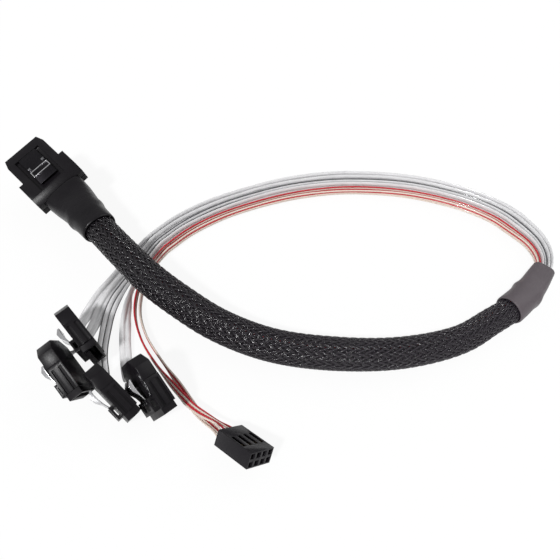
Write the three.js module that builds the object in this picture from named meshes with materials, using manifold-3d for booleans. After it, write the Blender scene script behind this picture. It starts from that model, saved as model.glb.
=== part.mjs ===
// Drive breakout cable: one 36 position plug, a braided trunk, four latching drive
// connectors and an eight way sideband connector. Millimetres, +Z up, lying on z = 0.
import * as THREE from 'three';
import { mergeVertices } from 'three/addons/utils/BufferGeometryUtils.js';
import Module from 'manifold-3d';

const wasm = await Module();
wasm.setup();

// Driving dimensions: clearances.
const GAP = 0.3;
const RIBBON_GAP = 0.12;
const LOOSE_RIBBON_GAP = 1.25;

// Driving dimensions: trunk plug.
const PLUG = {
  bodyLength: 11.8,
  noseLength: 14.2,
  bodyWidth: 22.2,
  noseWidth: 18.2,
  bodyHeight: 9.6,
  noseHeight: 8.6,
  noseChamfer: 1.1,
  noseChamferRun: 3.6,
  rearBevelRun: 3.2,
  rearBevelDrop: 1.9,
  mouthWidth: 15,
  mouthHeight: 5.4,
  cableHoleWidth: 13.6,
  shelfRun: 1.6,
  recessWidth: 11.8,
  recessDepth: 1.2,
  recessFromTip: 3.8,
  recessFromRear: 3.9,
};
const CARD = { length: 16.5, width: 14.2, thickness: 1, fromTip: 1.4 };
const CLAMP = { length: 4, fromRear: 1.2 };
const RIBBON_REACH = 7.6;
const PLUG_LATCH = {
  thickness: 0.35,
  width: 8.2,
  length: 15.2,
  lift: 0.95,
  tabLength: 2.9,
  tabFromHinge: 9.8,
  tabRise: 0.45,
  hookFromHinge: 6.4,
  hookRise: 1.15,
  hookWidth: 1.4,
  hookLength: 2,
};

// Driving dimensions: drive connectors.
const DRIVE = {
  length: 19.8,
  blockLength: 7.8,
  height: 12.8,
  thickness: 5.2,
  blockChamfer: 3,
  noseStep: 2.2,
  noseStepInset: 0.8,
  slotDepth: 6,
  slotHeight: 10,
  slotThickness: 2.3,
  slotKey: 1.2,
  slotOffset: 0.3,
  ribDepth: 0.5,
  ribWidth: 1,
  ribInset: 1.2,
  entryFromRear: 4.2,
  entryDepth: 1.6,
};
const FRAME = { postHeight: 1, postLength: 1.2, windowLength: 2.4, halfHeight: 4.4, barThickness: 0.7 };
const LEAF = {
  thickness: 0.35,
  height: 4.6,
  foot: 1.2,
  // Distance back from the root, rise of the inner side and depth of the pressed form.
  stations: [
    [0, 0, 0.35],
    [2, 0.5, 0.4],
    [4.2, 0.8, 1.3],
    [6.2, 0.8, 1.5],
    [7.8, 0.5, 0.7],
  ],
};
const WAFER = { length: 8.6, height: 9, thickness: 1.1 };

// Driving dimensions: sideband connector.
const SIDEBAND = {
  pitch: 2.54,
  columns: 4,
  rows: 2,
  length: 14,
  frontHole: 1.7,
  frontWall: 1.8,
  cavity: 1.9,
  windowLength: 5.6,
  windowWidth: 1.3,
  windowFromFront: 3.6,
  terminalLength: 3.8,
  terminalSize: 1.6,
  terminalBore: 0.8,
  terminalBoreDepth: 3,
};

// Driving dimensions: cables, shrink sleeves and braid.
const LEG = { width: 4, thickness: 0.9 };
const SIDE_RIBBON = { width: 2.8, thickness: 0.7, fanWidth: 6.4, fanLength: 6 };
const BRAID_WALL = 0.5;
const SHRINK_WALL = 0.6;
const PLUG_SHRINK = { length: 26.5 };
const BREAKOUT_SHRINK = { length: 25.5 };
const TRUNK_RINGS = 46;
const MIN_RING_SHARE = 0.25;
const BUNDLE_RINGS = 34;
const FAN_RINGS = 14;
const ROUND_SIDES = 16;

// Driving dimensions: how far the loop reaches to the right and to the back. All places
// below were laid out at the traced reaches, and laidOut stretches them with the loop.
const LOOP = { right: 98.1, back: 49.2 };
const TRACED = { right: 98.1, back: 49.2 };

function laidOut([x, y, z]) {
  const right = x > 0 ? LOOP.right / TRACED.right : 1;
  const back = y > 0 ? LOOP.back / TRACED.back : 1;
  return new THREE.Vector3(x * right, y * back, z);
}

// Poses of the rigid ends: at is the place of the local origin, and the angles are
// heading about Z, nose lift and lean about the nose axis, in degrees.
const PLUG_POSE = { at: [-85.9, 34.6, 11.8], heading: 136.5, lift: 8, lean: -15 };
const DRIVE_POSES = [
  { at: [-66.6, -29.6, 10.6], heading: -48, lift: -4, lean: 6 },
  { at: [-68.3, -43.0, 10.6], heading: -48.5, lift: -22, lean: 19.5 },
  { at: [-52.0, -50.9, 10.5], heading: -40, lift: -24, lean: 2.5 },
  { at: [-41, -49.1, 11], heading: -51, lift: -26, lean: -16 },
];
const SIDEBAND_POSE = { at: [-15.8, -62.4, 5.6], heading: -40.5, lift: 18, lean: -44 };

// The trunk's centreline behind the plug, to the breakout, with the half width and half
// height of the braid there, how square its section is (2 is an ellipse), and how far it
// has turned upright out of the plug's own lean.
const TRUNK_START = [
  { behind: GAP, half: [8, 4.2], square: 3.2, upright: 0 },
  { behind: 6.5, half: [7.4, 4.4], square: 2.8, upright: 0.1 },
];
const TRUNK = [
  { at: [-74.2, 22.3, 11.6], half: [6.2, 4.7], square: 2.3, upright: 0.2 },
  { at: [-65.2, 12.2, 12.2], half: [5.7, 4.9], square: 2, upright: 0.5 },
  { at: [-55.2, 1.3, 12.3], half: [5.8, 5.1], square: 2, upright: 0.8 },
  { at: [-46.6, -7.2, 11.4], half: [6, 5.3], square: 2, upright: 1 },
  { at: [-34.9, -16, 9.6], half: [6, 5.5], square: 2, upright: 1 },
  { at: [-20.9, -24.6, 7.5], half: [5.9, 5.6], square: 2, upright: 1 },
  { at: [-3.4, -31.4, 6.2], half: [5.8, 5.7], square: 2, upright: 1 },
  { at: [16.7, -34.6, 6], half: [5.8, 5.6], square: 2, upright: 1 },
  { at: [40.1, -34.4, 5.9], half: [5.4, 5.4], square: 2, upright: 1 },
  { at: [61.3, -29, 5.4], half: [4.9, 4.9], square: 2, upright: 1 },
  { at: [73.5, -21.8, 5.4], half: [4.7, 4.7], square: 2, upright: 1 },
  { at: [80.8, -17.2, 5.45], half: [4.6, 4.6], square: 2, upright: 1 },
  { at: [89.6, -9.4, 5.3], half: [4.1, 3.9], square: 2.6, upright: 1 },
  { at: [98.1, 1, 4.6], half: [3.2, 2.5], square: 4, upright: 1 },
];

// The common centreline of the four legs and the sideband wires, from the breakout
// back to the crossing under the trunk.
const BUNDLE = [
  [100.6, 8.8, 3.4],
  [99.8, 16.2, 2.8],
  [96.1, 23.3, 2.5],
  [89.8, 31.2, 2.4],
  [79, 38.6, 2.4],
  [67.3, 43.6, 2.4],
  [53.5, 47.4, 2.4],
  [37.5, 49.2, 2.4],
  [21.3, 48.9, 2.4],
  [0.8, 45, 2.4],
  [-20.3, 36.8, 2.4],
  [-32.5, 29.7, 2.4],
  [-40, 23.8, 2.4],
  [-47.1, 16.3, 2.4],
];

// Each leg's own points from the crossing to its connector, with the direction of the
// ribbon's width there: upright where it stands on edge, level where it lies flat.
const UPRIGHT = [0, 0, 1];
const LEANING = [-0.5, -0.4, 0.75];
const TILTED = [-0.9, -0.7, 0.42];
const FLAT = [-0.75, -0.65, 0];
const TURNING = [0.5, 0.4, 0.75];
const LEVEL = [0.75, 0.65, 0];
const LEG_FANS = [
  [
    { at: [-58.2, 7.1, 2.5], wide: UPRIGHT },
    { at: [-62.5, -1.5, 2.4], wide: LEANING },
    { at: [-66.4, -10, 2.6], wide: TILTED },
    { at: [-69.9, -18, 1.3], wide: FLAT },
    { at: [-70.8, -21.8, 1.6], wide: FLAT },
  ],
  [
    { at: [-55.8, 5, 2.5], wide: UPRIGHT },
    { at: [-60.4, -3.5, 2.4], wide: LEANING },
    { at: [-63.6, -12, 2.6], wide: TILTED },
    { at: [-65.8, -20, 1.3], wide: FLAT },
    { at: [-68.4, -28, 1.3], wide: FLAT },
    { at: [-70.2, -32, 1.9], wide: FLAT },
  ],
  [
    { at: [-54, 3.6, 2.5], wide: UPRIGHT },
    { at: [-58, -5, 2.4], wide: LEANING },
    { at: [-60.6, -14, 2.6], wide: TILTED },
    { at: [-61.6, -24, 1.3], wide: FLAT },
    { at: [-61, -33, 1.3], wide: FLAT },
    { at: [-59, -40.3, 1.3], wide: FLAT },
    { at: [-58.2, -43.2, 1.7], wide: FLAT },
  ],
  [
    { at: [-51.8, 3, 2.5], wide: UPRIGHT },
    { at: [-54.6, -6, 2.5], wide: UPRIGHT },
    { at: [-55, -15, 2.3], wide: LEANING },
    { at: [-54, -25, 2.5], wide: TILTED },
    { at: [-52.6, -34, 1.3], wide: FLAT },
    { at: [-50.6, -41, 1.7], wide: FLAT },
  ],
];
const SIDE_FANS = [
  [
    { at: [-50, 3, 2.4], wide: UPRIGHT },
    { at: [-52.2, -6, 2.2], wide: UPRIGHT },
    { at: [-52, -16, 1.9], wide: UPRIGHT },
    { at: [-48.2, -27, 1.9], wide: UPRIGHT },
    { at: [-41.6, -37, 1.9], wide: UPRIGHT },
    { at: [-33.4, -46.6, 2.4], wide: TURNING },
    { at: [-27.4, -53, 4], wide: LEVEL },
  ],
  [
    { at: [-48.4, 3, 2.4], wide: UPRIGHT },
    { at: [-50.4, -6, 2.2], wide: UPRIGHT },
    { at: [-50.2, -16, 1.9], wide: UPRIGHT },
    { at: [-46.4, -26, 1.9], wide: UPRIGHT },
    { at: [-39.8, -35.8, 1.9], wide: UPRIGHT },
    { at: [-32.2, -45.6, 1.9], wide: TURNING },
    { at: [-27, -52.8, 1.7], wide: LEVEL },
  ],
];

// Materials.
function plasticMaterial() {
  return new THREE.MeshStandardMaterial({ color: 0x17161a, roughness: 0.5, metalness: 0 });
}

function shrinkMaterial() {
  return new THREE.MeshStandardMaterial({ color: 0x1d1a1e, roughness: 0.45, metalness: 0 });
}

function braidMaterial() {
  return new THREE.MeshStandardMaterial({ color: 0x1a181d, roughness: 0.6, metalness: 0 });
}

function foilMaterial() {
  return new THREE.MeshStandardMaterial({ color: 0xb9b7bb, roughness: 0.3, metalness: 0.6 });
}

function wireMaterial() {
  return new THREE.MeshStandardMaterial({ color: 0xd9a79b, roughness: 0.4, metalness: 0 });
}

function steelMaterial() {
  return new THREE.MeshStandardMaterial({ color: 0xc9c8cc, roughness: 0.25, metalness: 1 });
}

function contactMaterial() {
  return new THREE.MeshStandardMaterial({ color: 0xd8c48a, roughness: 0.3, metalness: 1 });
}

function boardMaterial() {
  return new THREE.MeshStandardMaterial({ color: 0x1f4f33, roughness: 0.5, metalness: 0 });
}

// Solid helpers.
function toSolid(geometry) {
  const bare = geometry.clone();
  bare.deleteAttribute('normal');
  bare.deleteAttribute('uv');
  const merged = mergeVertices(bare, 1e-5);
  return new wasm.Manifold(new wasm.Mesh({
    numProp: 3,
    vertProperties: new Float32Array(merged.attributes.position.array),
    triVerts: new Uint32Array(merged.index.array),
  }));
}

function toGeometry(solid) {
  const mesh = solid.getMesh();
  const geometry = new THREE.BufferGeometry();
  geometry.setAttribute('position', new THREE.BufferAttribute(mesh.vertProperties, 3));
  geometry.setIndex(new THREE.BufferAttribute(mesh.triVerts, 1));
  geometry.computeVertexNormals();
  return geometry;
}

// A box given by its lowest and highest corner.
function block(low, high) {
  const size = high.map((value, i) => value - low[i]);
  const geometry = new THREE.BoxGeometry(...size);
  geometry.translate(...low.map((value, i) => value + size[i] / 2));
  return toSolid(geometry);
}

// An outline in the XY plane, extruded over a range of Z.
function prismAlongZ(outline, low, high) {
  const shape = new THREE.Shape(outline.map(([x, y]) => new THREE.Vector2(x, y)));
  const geometry = new THREE.ExtrudeGeometry(shape, { depth: high - low, bevelEnabled: false });
  geometry.translate(0, 0, low);
  return toSolid(geometry);
}

// An outline in the XZ plane, extruded over a range of Y.
function prismAlongY(outline, low, high) {
  const shape = new THREE.Shape(outline.map(([x, z]) => new THREE.Vector2(x, z)));
  const geometry = new THREE.ExtrudeGeometry(shape, { depth: high - low, bevelEnabled: false });
  geometry.rotateX(Math.PI / 2);
  geometry.translate(0, high, 0);
  return toSolid(geometry);
}

function mesh(name, geometry, material) {
  const item = new THREE.Mesh(geometry, material);
  item.name = name;
  return item;
}

function posedGroup({ at, heading, lift, lean }) {
  const group = new THREE.Group();
  group.position.copy(laidOut(at));
  const rad = THREE.MathUtils.degToRad;
  group.rotation.set(rad(lean), rad(-lift), rad(heading), 'ZYX');
  group.updateMatrixWorld(true);
  return group;
}

// Lofts: a closed section carried along rings.
function loftSolid(rings) {
  const sides = rings[0].length;
  const positions = rings.flat().flatMap((point) => [point.x, point.y, point.z]);
  const index = [];
  for (let r = 0; r < rings.length - 1; r += 1) {
    for (let s = 0; s < sides; s += 1) {
      const a = r * sides + s;
      const b = r * sides + (s + 1) % sides;
      index.push(a, b, b + sides, a, b + sides, a + sides);
    }
  }
  const last = (rings.length - 1) * sides;
  for (let s = 1; s < sides - 1; s += 1) {
    index.push(0, s + 1, s);
    index.push(last, last + s, last + s + 1);
  }
  return shellGeometry(positions, index);
}

// A tube wall between outer and inner rings, open at both ends.
function loftTube(outer, inner) {
  const sides = outer[0].length;
  const count = outer.length;
  const positions = [...outer, ...inner].flat().flatMap((point) => [point.x, point.y, point.z]);
  const index = [];
  const at = (layer, ring, side) => (layer * count + ring) * sides + side % sides;
  for (let s = 0; s < sides; s += 1) {
    for (let r = 0; r < count - 1; r += 1) {
      index.push(at(0, r, s), at(0, r, s + 1), at(0, r + 1, s + 1));
      index.push(at(0, r, s), at(0, r + 1, s + 1), at(0, r + 1, s));
      index.push(at(1, r, s), at(1, r + 1, s + 1), at(1, r, s + 1));
      index.push(at(1, r, s), at(1, r + 1, s), at(1, r + 1, s + 1));
    }
    index.push(at(0, 0, s), at(1, 0, s), at(1, 0, s + 1));
    index.push(at(0, 0, s), at(1, 0, s + 1), at(0, 0, s + 1));
    index.push(at(0, count - 1, s), at(1, count - 1, s + 1), at(1, count - 1, s));
    index.push(at(0, count - 1, s), at(0, count - 1, s + 1), at(1, count - 1, s + 1));
  }
  return shellGeometry(positions, index);
}

function shellGeometry(positions, index) {
  const geometry = new THREE.BufferGeometry();
  geometry.setAttribute('position', new THREE.Float32BufferAttribute(positions, 3));
  geometry.setIndex(index);
  geometry.computeVertexNormals();
  return geometry;
}

// A frame on a path: the place, the tangent, the left hand side and the up vector,
// which is the wide direction made square to the tangent.
function frameAt(place, tangent, wide) {
  const side = wide.clone().cross(tangent).normalize();
  const up = tangent.clone().cross(side).normalize();
  return { place, tangent, side, up };
}

function sampleRoute(points, wides, count, from = 0) {
  const curve = new THREE.CatmullRomCurve3(points, false, 'centripetal');
  const frames = [];
  const last = points.length - 1;
  for (let i = 0; i <= count; i += 1) {
    const t = (from + (last - from) * (i / count)) / last;
    const knot = Math.min(Math.floor(t * last), last - 1);
    const turn = THREE.MathUtils.smoothstep(t * last - knot, 0, 1);
    const wide = wides[knot].clone().lerp(wides[knot + 1], turn);
    frames.push(frameAt(curve.getPoint(t), curve.getTangent(t), wide));
  }
  return frames;
}

function offsetPoint({ place, side, up }, across, height) {
  return place.clone().addScaledVector(side, across).addScaledVector(up, height);
}

function ovalRing(frame, halfWidth, halfHeight, square) {
  const bulge = (value) => Math.sign(value) * Math.abs(value) ** (2 / square);
  const ring = [];
  for (let s = 0; s < ROUND_SIDES; s += 1) {
    const angle = (s / ROUND_SIDES) * 2 * Math.PI;
    ring.push(offsetPoint(frame, halfWidth * bulge(Math.cos(angle)), halfHeight * bulge(Math.sin(angle))));
  }
  return ring;
}

// A ribbon's section with rounded long edges, thickness across and width upward.
function ribbonRing(frame, across, thickness, width) {
  const half = thickness / 2;
  const edge = width / 2;
  const corner = thickness * 0.3;
  return [
    [-half, -edge + corner],
    [-half + corner, -edge],
    [half - corner, -edge],
    [half, -edge + corner],
    [half, edge - corner],
    [half - corner, edge],
    [-half + corner, edge],
    [-half, edge - corner],
  ].map(([x, y]) => offsetPoint(frame, across + x, y));
}

// The trunk.
const plugGroup = posedGroup(PLUG_POSE);
const plugUp = new THREE.Vector3(0, 0, 1).transformDirection(plugGroup.matrixWorld);
const trunkRows = [...TRUNK_START, ...TRUNK];
const trunkPoints = trunkRows.map(({ at, behind }) => (
  at ? laidOut(at) : plugGroup.localToWorld(new THREE.Vector3(-behind, 0, 0))));
const trunkWides = trunkRows.map((row) => plugUp.clone().lerp(new THREE.Vector3(...UPRIGHT), row.upright));
const trunkFrames = sampleRoute(trunkPoints, trunkWides, TRUNK_RINGS);
trunkFrames[0] = frameAt(
  trunkPoints[0],
  new THREE.Vector3(-1, 0, 0).transformDirection(plugGroup.matrixWorld),
  plugUp,
);

function trunkSection(step) {
  const last = trunkRows.length - 1;
  const t = (step / TRUNK_RINGS) * last;
  const knot = Math.min(Math.floor(t), last - 1);
  const values = [knot, knot + 1].map((row) => [...trunkRows[row].half, trunkRows[row].square]);
  return values[0].map((value, i) => THREE.MathUtils.lerp(value, values[1][i], t - knot));
}

// The frame at a step that may lie between two of the trunk's rings.
function trunkFrameAt(step) {
  const before = Math.min(Math.floor(step), TRUNK_RINGS - 1);
  const [a, b] = [trunkFrames[before], trunkFrames[before + 1]];
  const mix = (key) => a[key].clone().lerp(b[key], step - before);
  return frameAt(mix('place'), mix('tangent').normalize(), mix('up'));
}

// The two end steps and the whole steps between them, none too near an end.
function trunkSteps(from, to) {
  const steps = [from];
  for (let step = Math.ceil(from + MIN_RING_SHARE); step < to - MIN_RING_SHARE; step += 1) {
    steps.push(step);
  }
  return [...steps, to];
}

// Wall of a sleeve over the trunk from one step to another, standing off by clearance.
function trunkTube(from, to, clearance, wall) {
  const outer = [];
  const inner = [];
  for (const step of trunkSteps(from, to)) {
    const [a, b, square] = trunkSection(step);
    const frame = trunkFrameAt(step);
    outer.push(ovalRing(frame, a + clearance + wall, b + clearance + wall, square));
    inner.push(ovalRing(frame, a + clearance, b + clearance, square));
  }
  return loftTube(outer, inner);
}

function trunkStepAt(distance) {
  let travelled = 0;
  for (let step = 1; step <= TRUNK_RINGS; step += 1) {
    const stride = trunkFrames[step].place.distanceTo(trunkFrames[step - 1].place);
    if (travelled + stride >= distance) {
      return step - 1 + (distance - travelled) / stride;
    }
    travelled += stride;
  }
  return TRUNK_RINGS;
}

const trunkLength = trunkFrames.slice(1)
  .reduce((sum, frame, i) => sum + frame.place.distanceTo(trunkFrames[i].place), 0);
const shrinkRim = trunkStepAt(PLUG_SHRINK.length);
const breakoutRim = trunkStepAt(trunkLength - BREAKOUT_SHRINK.length);

function braidedSleeve() {
  return mesh('braided_sleeve', trunkTube(shrinkRim - 2, breakoutRim + 2, -BRAID_WALL, BRAID_WALL),
    braidMaterial());
}

function plugHeatShrink() {
  return mesh('plug_heat_shrink', trunkTube(0, shrinkRim, GAP, SHRINK_WALL), shrinkMaterial());
}

function breakoutHeatShrink() {
  return mesh('breakout_heat_shrink', trunkTube(breakoutRim, TRUNK_RINGS, GAP, SHRINK_WALL),
    shrinkMaterial());
}

// Ribbons.
const bundlePoints = BUNDLE.map(laidOut);
const bundleRoute = [...trunkPoints.slice(-3), ...bundlePoints];
const uprightWides = bundleRoute.map(() => new THREE.Vector3(...UPRIGHT));
const bundleFrames = sampleRoute(bundleRoute, uprightWides, BUNDLE_RINGS, 2);

// Places of the four legs and two sideband ribbons across the bundle, outermost first.
function lateralOffsets(gap) {
  const legs = [0, 1, 2, 3].map(() => LEG.thickness);
  const widths = legs.concat(SIDE_RIBBON.thickness, SIDE_RIBBON.thickness);
  const total = widths.reduce((sum, width) => sum + width, 0) + gap * (widths.length - 1);
  let edge = -total / 2;
  return widths.map((width) => {
    const middle = edge + width / 2;
    edge += width + gap;
    return middle;
  });
}

const OFFSETS = lateralOffsets(RIBBON_GAP);
const LOOSE_OFFSETS = lateralOffsets(LOOSE_RIBBON_GAP);
const SPREAD_RINGS = 8;

const ribbonStart = frameAt(
  plugGroup.localToWorld(new THREE.Vector3(RIBBON_REACH, 0, 0)),
  trunkFrames[0].tangent,
  plugUp,
);

// Rings of one ribbon: from the plug's card through the trunk, in the common bundle where
// the stack loosens, then along its own fan.
function ribbonRings(slot, thickness, width, fanFrames, fanWidth = () => width) {
  const rings = [ribbonStart, ...trunkFrames]
    .map((frame) => ribbonRing(frame, OFFSETS[slot], thickness, width));
  bundleFrames.slice(1).forEach((frame, i) => {
    const loose = Math.min(1, i / SPREAD_RINGS);
    const across = THREE.MathUtils.lerp(OFFSETS[slot], LOOSE_OFFSETS[slot], loose);
    rings.push(ribbonRing(frame, across, thickness, width));
  });
  fanFrames.slice(1).forEach((frame, i) => {
    rings.push(ribbonRing(frame, 0, thickness, fanWidth(i, fanFrames.length - 2)));
  });
  return rings;
}

function fanFramesFor(slot, fan, end) {
  const tail = bundleFrames.slice(-4).map((frame) => offsetPoint(frame, LOOSE_OFFSETS[slot], 0));
  const lead = [tail[0], tail[3]];
  const points = [...lead, ...fan.map((row) => laidOut(row.at)), ...end.points];
  const upright = new THREE.Vector3(...UPRIGHT);
  const wides = [upright, upright, ...fan.map((row) => new THREE.Vector3(...row.wide)), ...end.wides];
  return sampleRoute(points, wides, FAN_RINGS + end.extraRings, 1);
}

// Trunk plug, local origin at the rear face, +X to the nose tip.
const PLUG_LENGTH = PLUG.bodyLength + PLUG.noseLength;

function plugOutline() {
  const body = PLUG.bodyWidth / 2;
  const nose = PLUG.noseWidth / 2;
  const chamferX = PLUG_LENGTH - PLUG.noseChamferRun;
  return [
    [0, -body],
    [PLUG.bodyLength, -body],
    [PLUG.bodyLength, -nose],
    [chamferX, -nose],
    [PLUG_LENGTH, -nose + PLUG.noseChamfer],
    [PLUG_LENGTH, nose - PLUG.noseChamfer],
    [chamferX, nose],
    [PLUG.bodyLength, nose],
    [PLUG.bodyLength, body],
    [0, body],
  ];
}

function plugProfile() {
  const body = PLUG.bodyHeight / 2;
  const nose = PLUG.noseHeight / 2;
  return [
    [0, -body + PLUG.rearBevelDrop],
    [PLUG.rearBevelRun, -body],
    [PLUG.bodyLength, -body],
    [PLUG.bodyLength, -nose],
    [PLUG_LENGTH, -nose],
    [PLUG_LENGTH, nose],
    [PLUG.bodyLength, nose],
    [PLUG.bodyLength, body],
    [PLUG.rearBevelRun, body],
    [0, body - PLUG.rearBevelDrop],
  ];
}

function plugEnvelope() {
  const tall = PLUG.bodyHeight;
  return prismAlongZ(plugOutline(), -tall, tall).intersect(prismAlongY(plugProfile(), -tall * 2, tall * 2));
}

function plugBore() {
  const mouth = block(
    [PLUG.bodyLength - PLUG.shelfRun, -PLUG.mouthWidth / 2, -PLUG.mouthHeight / 2],
    [PLUG_LENGTH + 1, PLUG.mouthWidth / 2, PLUG.mouthHeight / 2],
  );
  const rear = block(
    [-1, -PLUG.cableHoleWidth / 2, -PLUG.mouthHeight / 2],
    [PLUG.bodyLength, PLUG.cableHoleWidth / 2, PLUG.mouthHeight / 2],
  );
  return mouth.add(rear);
}

// The card's groove: a slot in each side wall where the two shells pinch the card.
function cardSlot() {
  const reach = CARD.width / 2 + GAP;
  const tip = PLUG_LENGTH - CARD.fromTip;
  return block(
    [tip - CARD.length - GAP, -reach, -CARD.thickness / 2 - GAP],
    [tip + GAP, reach, CARD.thickness / 2 + GAP],
  );
}

function latchRecess() {
  const top = PLUG.bodyHeight / 2;
  const floor = PLUG.noseHeight / 2 - PLUG.recessDepth;
  return block(
    [PLUG.recessFromRear, -PLUG.recessWidth / 2, floor],
    [PLUG_LENGTH - PLUG.recessFromTip, PLUG.recessWidth / 2, top + 1],
  );
}

function plugShell(upper) {
  const tall = PLUG.bodyHeight;
  const split = GAP / 2;
  const half = upper
    ? block([-1, -PLUG.bodyWidth, split], [PLUG_LENGTH + 1, PLUG.bodyWidth, tall])
    : block([-1, -PLUG.bodyWidth, -tall], [PLUG_LENGTH + 1, PLUG.bodyWidth, -split]);
  let shell = plugEnvelope().subtract(plugBore()).subtract(cardSlot()).intersect(half);
  if (upper) {
    shell = shell.subtract(latchRecess());
  }
  return toGeometry(shell);
}

function paddleCard() {
  const tip = PLUG_LENGTH - CARD.fromTip;
  const low = [tip - CARD.length, -CARD.width / 2, -CARD.thickness / 2];
  const high = [tip, CARD.width / 2, CARD.thickness / 2];
  return toGeometry(block(low, high));
}

// The clamp holds the ribbons apart from the shells just inside the plug's rear.
function wireClamp() {
  const outerY = PLUG.cableHoleWidth / 2 - GAP;
  const outerZ = PLUG.mouthHeight / 2 - GAP;
  const holeY = OFFSETS[OFFSETS.length - 1] + SIDE_RIBBON.thickness / 2 + GAP;
  const holeZ = LEG.width / 2 + GAP;
  const from = CLAMP.fromRear;
  const to = from + CLAMP.length;
  return toGeometry(block([from, -outerY, -outerZ], [to, outerY, outerZ])
    .subtract(block([from - 1, -holeY, -holeZ], [to + 1, holeY, holeZ])));
}

const LATCH_HINGE_X = PLUG_LENGTH - PLUG.recessFromTip - GAP;
const LATCH_BASE_Z = PLUG.noseHeight / 2 - PLUG.recessDepth + PLUG_LATCH.lift;

// The latch leaf runs back from its hinge line at the front of the recess.
function plugLatch() {
  const t = PLUG_LATCH.thickness;
  const half = PLUG_LATCH.width / 2;
  const z = LATCH_BASE_Z;
  let leaf = block([LATCH_HINGE_X - PLUG_LATCH.length, -half, z], [LATCH_HINGE_X, half, z + t]);
  const tabMiddle = LATCH_HINGE_X - PLUG_LATCH.tabFromHinge;
  const tabHalf = PLUG_LATCH.tabLength / 2;
  const rim = block([tabMiddle - tabHalf, -half, z], [tabMiddle + tabHalf, half, z + t + PLUG_LATCH.tabRise]);
  const dish = block(
    [tabMiddle - tabHalf + t, -half + t, z + t],
    [tabMiddle + tabHalf - t, half - t, z + t + PLUG_LATCH.tabRise + 1],
  );
  leaf = leaf.add(rim.subtract(dish));
  for (const side of [-1, 1]) {
    const y = side * (half - PLUG_LATCH.hookWidth / 2);
    const x = LATCH_HINGE_X - PLUG_LATCH.hookFromHinge;
    const hook = [
      [x - PLUG_LATCH.hookLength / 2, z],
      [x + PLUG_LATCH.hookLength / 2, z],
      [x - PLUG_LATCH.hookLength / 2, z + t + PLUG_LATCH.hookRise],
    ];
    leaf = leaf.add(prismAlongY(hook, y - PLUG_LATCH.hookWidth / 2, y + PLUG_LATCH.hookWidth / 2));
  }
  return toGeometry(leaf);
}

function trunkPlug() {
  const group = plugGroup;
  group.add(mesh('plug_upper_shell', plugShell(true), plasticMaterial()));
  group.add(mesh('plug_lower_shell', plugShell(false), plasticMaterial()));
  group.add(mesh('plug_paddle_card', paddleCard(), boardMaterial()));
  group.add(mesh('plug_wire_clamp', wireClamp(), plasticMaterial()));
  group.add(mesh('plug_latch', plugLatch(), steelMaterial()));
  return group;
}

// Drive connector, local origin at its middle, +X to the nose, +Y the cable side.
const DRIVE_REAR = -DRIVE.length / 2;
const DRIVE_NOSE = DRIVE.length / 2;
const BLOCK_FRONT = DRIVE_REAR + DRIVE.blockLength;
const FRAME_FRONT = DRIVE_NOSE - DRIVE.noseStep;
const FRAME_REAR = FRAME_FRONT - FRAME.windowLength - 2 * FRAME.postLength;
const HALF_T = DRIVE.thickness / 2;
const HALF_H = DRIVE.height / 2;

function driveSlot() {
  const half = DRIVE.slotHeight / 2;
  const low = DRIVE.slotOffset - DRIVE.slotThickness / 2;
  const high = DRIVE.slotOffset + DRIVE.slotThickness / 2;
  const inner = DRIVE_NOSE - DRIVE.slotDepth;
  const main = block([inner, low, -half], [DRIVE_NOSE + 1, high, half]);
  const key = block([inner, low - DRIVE.slotKey, half - DRIVE.slotKey], [DRIVE_NOSE + 1, high, half]);
  const waferRoom = block(
    [BLOCK_FRONT, DRIVE.slotOffset - WAFER.thickness / 2 - GAP, -WAFER.height / 2 - GAP],
    [inner + 1, DRIVE.slotOffset + WAFER.thickness / 2 + GAP, WAFER.height / 2 + GAP],
  );
  return main.add(key).add(waferRoom);
}

// Lengthwise grooves along each narrow face, and the stepped tip of the nose.
function driveTrim() {
  const from = BLOCK_FRONT + DRIVE.ribInset;
  const to = FRAME_FRONT;
  const inset = DRIVE.noseStepInset;
  let trim = block([to, -HALF_T - 1, HALF_H - inset], [DRIVE_NOSE + 1, HALF_T + 1, HALF_H + 1]);
  trim = trim.add(block([to, -HALF_T - 1, -HALF_H - 1], [DRIVE_NOSE + 1, HALF_T + 1, -HALF_H + inset]));
  trim = trim.add(block([to, HALF_T - inset / 2, -HALF_H - 1], [DRIVE_NOSE + 1, HALF_T + 1, HALF_H + 1]));
  for (const side of [-1, 1]) {
    for (const y of [-HALF_T / 2, HALF_T / 2]) {
      const outer = side * HALF_H;
      const depth = side * (HALF_H - DRIVE.ribDepth);
      const low = Math.min(outer, depth) - (side < 0 ? 1 : 0);
      const high = Math.max(outer, depth) + (side > 0 ? 1 : 0);
      trim = trim.add(block([from, y - DRIVE.ribWidth / 2, low], [to + 1, y + DRIVE.ribWidth / 2, high]));
    }
  }
  return trim;
}

// The open frame on the latch side: two posts joined by a rail above and below the leaf.
function latchFrame() {
  const half = FRAME.halfHeight;
  const foot = -HALF_T + 1;
  const inner = -HALF_T - FRAME.postHeight;
  const outer = inner - FRAME.barThickness;
  const clear = LEAF.height / 2 + GAP;
  return block([FRAME_FRONT - FRAME.postLength, outer, -half], [FRAME_FRONT, foot, half])
    .add(block([FRAME_REAR, inner, -half], [FRAME_REAR + FRAME.postLength, foot, half]))
    .add(block([FRAME_REAR, outer, clear], [FRAME_FRONT, inner, half]))
    .add(block([FRAME_REAR, outer, -half], [FRAME_FRONT, inner, -clear]));
}

function driveHousing() {
  const body = block([BLOCK_FRONT, -HALF_T, -HALF_H], [DRIVE_NOSE, HALF_T, HALF_H]);
  return toGeometry(body.add(latchFrame()).subtract(driveTrim()).subtract(driveSlot()));
}

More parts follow.
